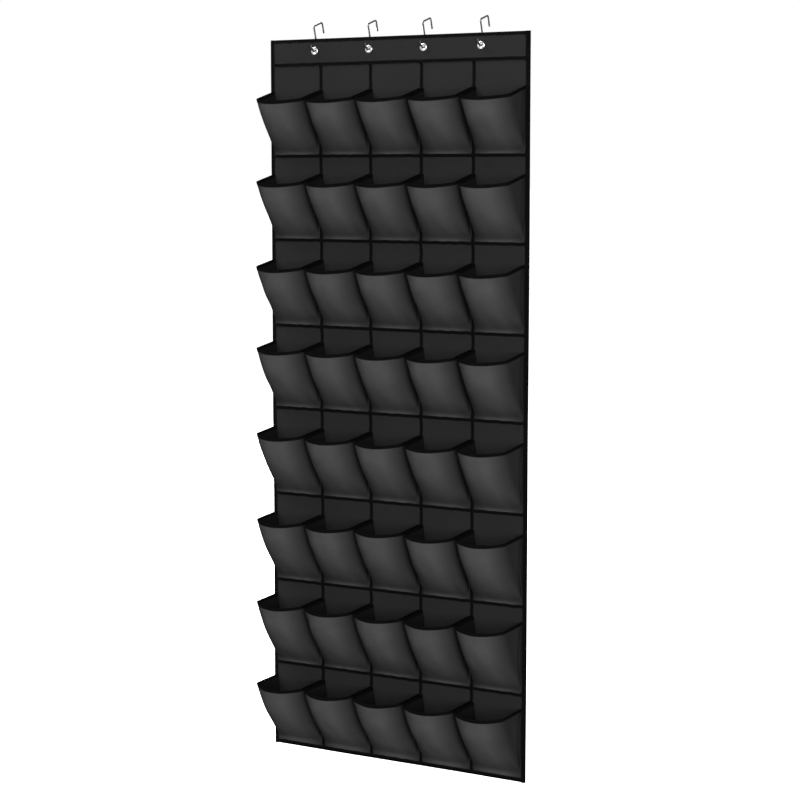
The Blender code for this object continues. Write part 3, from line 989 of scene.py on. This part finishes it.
def grommet_profile():
    """A rolled flange, half round in front, and a barrel that ends in a small curl behind the washer."""
    seat = HEADER_FRONT + CLEARANCE
    crest_radius = (GROMMET_RADIUS - BORE_RADIUS) / 2
    crest_middle = (GROMMET_RADIUS + BORE_RADIUS) / 2
    angle = np.linspace(0, math.pi, CREST_STEPS)
    crest = [(crest_middle + crest_radius * math.cos(a), seat + FLANGE_HEIGHT * math.sin(a)) for a in angle]
    barrel_end = SHEET_FRONT - SHEET_THICKNESS - CLEARANCE - WASHER_HEIGHT
    curl_middle = BORE_RADIUS + BARREL_CURL
    curl = [(curl_middle - BARREL_CURL * math.cos(a), barrel_end - BARREL_CURL * math.sin(a)) for a in angle]
    return crest + curl + [(BORE_RADIUS + BARREL_WALL, seat - SEAT_SINK)]


def washer_profile():
    front = SHEET_FRONT - SHEET_THICKNESS - CLEARANCE / 2
    angle = np.linspace(0, math.pi, WASHER_STEPS)
    middle_radius = (GROMMET_RADIUS + BORE_RADIUS + WASHER_PLAY) / 2
    half = (GROMMET_RADIUS - BORE_RADIUS - WASHER_PLAY) / 2
    return [(middle_radius + half * math.cos(a), front - WASHER_HEIGHT * math.sin(a)) for a in angle]


# Hooks

J_TIP_HEIGHT = 0.0195
BAR_BEND = 0.005
BEND_MARGIN = 0.001
SHANK_MARGIN = 0.004
DOOR_GAP = 0.037
BACK_LEG = 0.028
LEAN = math.radians(17)
TIP_STEPS = 4
SHANK_STEPS = 8
LEG_STEPS = 5
BEND_STEPS = 12
WIRE_SIDES = 20
CAP_STEPS = 5
CAP_TIP_ANGLE = 0.12


def arc(centre, radius, start, end, steps):
    """Points on an arc in Y and Z, from angles in degrees."""
    angle = np.radians(np.linspace(start, end, steps + 1))
    return np.stack([centre[0] + radius * np.cos(angle), centre[1] + radius * np.sin(angle)], axis=-1)


def hook_path():
    """The upright wire's centre line, in Y and Z about its pivot, from the J's tip to the back leg."""
    j_radius = -PANEL_Y - WIRE_RADIUS
    bar = -PIVOT_Z + WIRE_RADIUS
    bend = bar - BAR_BEND
    back = j_radius + DOOR_GAP + 2 * WIRE_RADIUS
    return np.concatenate([
        np.linspace((-j_radius, J_TIP_HEIGHT), (-j_radius, j_radius), TIP_STEPS, endpoint=False),
        arc((0, j_radius), j_radius, 180, 360, 2 * BEND_STEPS),
        np.linspace((j_radius, j_radius + SHANK_MARGIN), (j_radius, bend - BEND_MARGIN), SHANK_STEPS),
        arc((j_radius + BAR_BEND, bend), BAR_BEND, 180, 90, BEND_STEPS),
        arc((back - BAR_BEND, bend), BAR_BEND, 90, 0, BEND_STEPS),
        np.linspace((back, bend - BEND_MARGIN), (back, bar - BACK_LEG), LEG_STEPS),
    ])


def with_round_ends(path):
    """The path and the wire's radius along it, with half-round ends."""
    angle = np.linspace(0, math.pi / 2, CAP_STEPS, endpoint=False)
    radius = WIRE_RADIUS * np.sin(np.linspace(CAP_TIP_ANGLE, math.pi / 2, CAP_STEPS))
    start = unit(path[1] - path[0])
    end = unit(path[-1] - path[-2])
    setback = WIRE_RADIUS * (1 - np.sin(angle))[:, None]
    first = path[0] + start * setback
    last = path[-1] - end * setback[::-1]
    run = lengths_along(path)
    inner = path[(run > WIRE_RADIUS) & (lengths_along(path[::-1])[::-1] > WIRE_RADIUS)]
    radii = np.concatenate([radius, np.full(len(inner), WIRE_RADIUS), radius[::-1]])
    return np.concatenate([first, inner, last]), radii


def build_hook(number, pivot):
    path, radii = with_round_ends(hook_path())
    along = unit(np.gradient(path, axis=0))
    across = np.stack([-along[:, 1], along[:, 0]], axis=-1)
    angle = np.linspace(0, 2 * math.pi, WIRE_SIDES, endpoint=False)
    y = path[:, :1] + radii[:, None] * np.sin(angle) * across[:, :1]
    z = path[:, 1:] + radii[:, None] * np.sin(angle) * across[:, 1:]
    x = np.broadcast_to(radii[:, None] * np.cos(angle), y.shape)
    lean_y = y * math.cos(LEAN) - z * math.sin(LEAN)
    lean_z = y * math.sin(LEAN) + z * math.cos(LEAN)
    points = np.stack([pivot[X] + x, pivot[Y] + lean_y, pivot[Z] + lean_z], axis=-1)
    name = f"hook_{number}_wire"
    uv = ring_uv(points[CAP_STEPS:], lengths_along(path))
    wire = grid_object(name, points, uv, ZINC, ring=True, capped=True)
    keep(wire, "hook_metal", f"hook_{number}", body=f"hook_{number}")


def build_metal():
    for number, pivot in enumerate(PIVOTS.values(), start=1):
        turned(f"grommet_{number}_flange", grommet_profile(), pivot, f"grommet_{number}")
        turned(f"grommet_{number}_washer", washer_profile(), pivot, f"grommet_washer_{number}")
        build_hook(number, pivot)


# Stage, light and camera

FLOOR_BELOW_PANEL = 0.145
FLOOR_SIZE = 400.0
FLOOR_COLOUR = (0.9, 0.9, 0.9, 1.0)
FLOOR_ROUGHNESS = 0.9
FLOOR_GLOW = 0.95
WHITE = (1.0, 1.0, 1.0, 1.0)
STUDIO_STRENGTH = 0.34
STUDIO_GLOSS_STRENGTH = 0.6
KEY_AZIMUTH = math.radians(36)
KEY_ELEVATION = math.radians(8)
KEY_POWER = 830
FILL_AZIMUTH = math.radians(-60)
FILL_ELEVATION = math.radians(50)
FILL_POWER = 800
REAR_AZIMUTH = math.radians(230)
REAR_ELEVATION = math.radians(15)
REAR_POWER = 900
LIGHT_DISTANCE = 8.0
LIGHT_SIZE = 4.0
CAMERA_AZIMUTH = math.radians(30)
CAMERA_PITCH = 0.109738
CAMERA_X = 2.601
CAMERA_IN_FRONT = 4.486
CAMERA_ABOVE_PANEL_BOTTOM = 1.516
LENS = 92.2


def build_stage():
    """A floor that stays white under the soft light, and that throws none of it back at the cloth."""
    bpy.ops.mesh.primitive_plane_add(size=FLOOR_SIZE, location=(0, 0, PANEL_BOTTOM - FLOOR_BELOW_PANEL))
    floor = bpy.context.active_object
    floor.name = "floor"
    shader = Shader(
        "pale_floor",
        Roughness=FLOOR_ROUGHNESS,
        Base_Color=FLOOR_COLOUR,
        Specular_IOR_Level=0.0,
        Emission_Color=WHITE,
        Emission_Strength=FLOOR_GLOW,
    )
    floor.data.materials.append(shader.material)
    floor.visible_diffuse = False
    floor.visible_glossy = False


def area_light(name, azimuth, elevation, power):
    """A square light aimed at the panel's middle, from an azimuth right of its front and an elevation."""
    light = bpy.data.lights.new(name, "AREA")
    light.size = LIGHT_SIZE
    light.energy = power
    lamp = bpy.data.objects.new(name, light)
    level = math.cos(elevation)
    towards = Vector((math.sin(azimuth) * level, -math.cos(azimuth) * level, math.sin(elevation)))
    lamp.location = Vector((0.0, PANEL_Y, (PANEL_TOP + PANEL_BOTTOM) / 2)) + LIGHT_DISTANCE * towards
    lamp.rotation_mode = "QUATERNION"
    lamp.rotation_quaternion = towards.to_track_quat("Z", "Y")
    bpy.context.scene.collection.objects.link(lamp)


def build_light():
    """Soft lights in front and behind, in a dim even studio.

    To the camera the studio is a white background, and gloss sees it brighter than soft light does.
    """
    world = bpy.data.worlds.new("studio")
    world.use_nodes = True
    tree = world.node_tree
    background = tree.nodes["Background"]
    background.inputs["Color"].default_value = WHITE
    rays = tree.nodes.new("ShaderNodeLightPath")
    gloss = tree.nodes.new("ShaderNodeMapRange")
    gloss.inputs["To Min"].default_value = STUDIO_STRENGTH
    gloss.inputs["To Max"].default_value = STUDIO_GLOSS_STRENGTH
    strength = tree.nodes.new("ShaderNodeMath")
    strength.operation = "MAXIMUM"
    tree.links.new(rays.outputs["Is Glossy Ray"], gloss.inputs["Value"])
    tree.links.new(rays.outputs["Is Camera Ray"], strength.inputs[0])
    tree.links.new(gloss.outputs[0], strength.inputs[1])
    tree.links.new(strength.outputs[0], background.inputs["Strength"])
    bpy.context.scene.world = world
    bpy.context.scene.view_settings.view_transform = "Standard"
    area_light("key", KEY_AZIMUTH, KEY_ELEVATION, KEY_POWER)
    area_light("fill", FILL_AZIMUTH, FILL_ELEVATION, FILL_POWER)
    area_light("rear", REAR_AZIMUTH, REAR_ELEVATION, REAR_POWER)


def build_camera():
    data = bpy.data.cameras.new("camera")
    data.lens = LENS
    camera = bpy.data.objects.new("camera", data)
    camera.location = (CAMERA_X, PANEL_Y - CAMERA_IN_FRONT, PANEL_BOTTOM + CAMERA_ABOVE_PANEL_BOTTOM)
    camera.rotation_euler = (math.pi / 2 - CAMERA_PITCH, 0, CAMERA_AZIMUTH)
    bpy.context.scene.collection.objects.link(camera)
    bpy.context.scene.camera = camera


build_sheets()
build_tapes()
build_bindings()
build_pockets()
build_metal()
build_stage()
build_light()
build_camera()
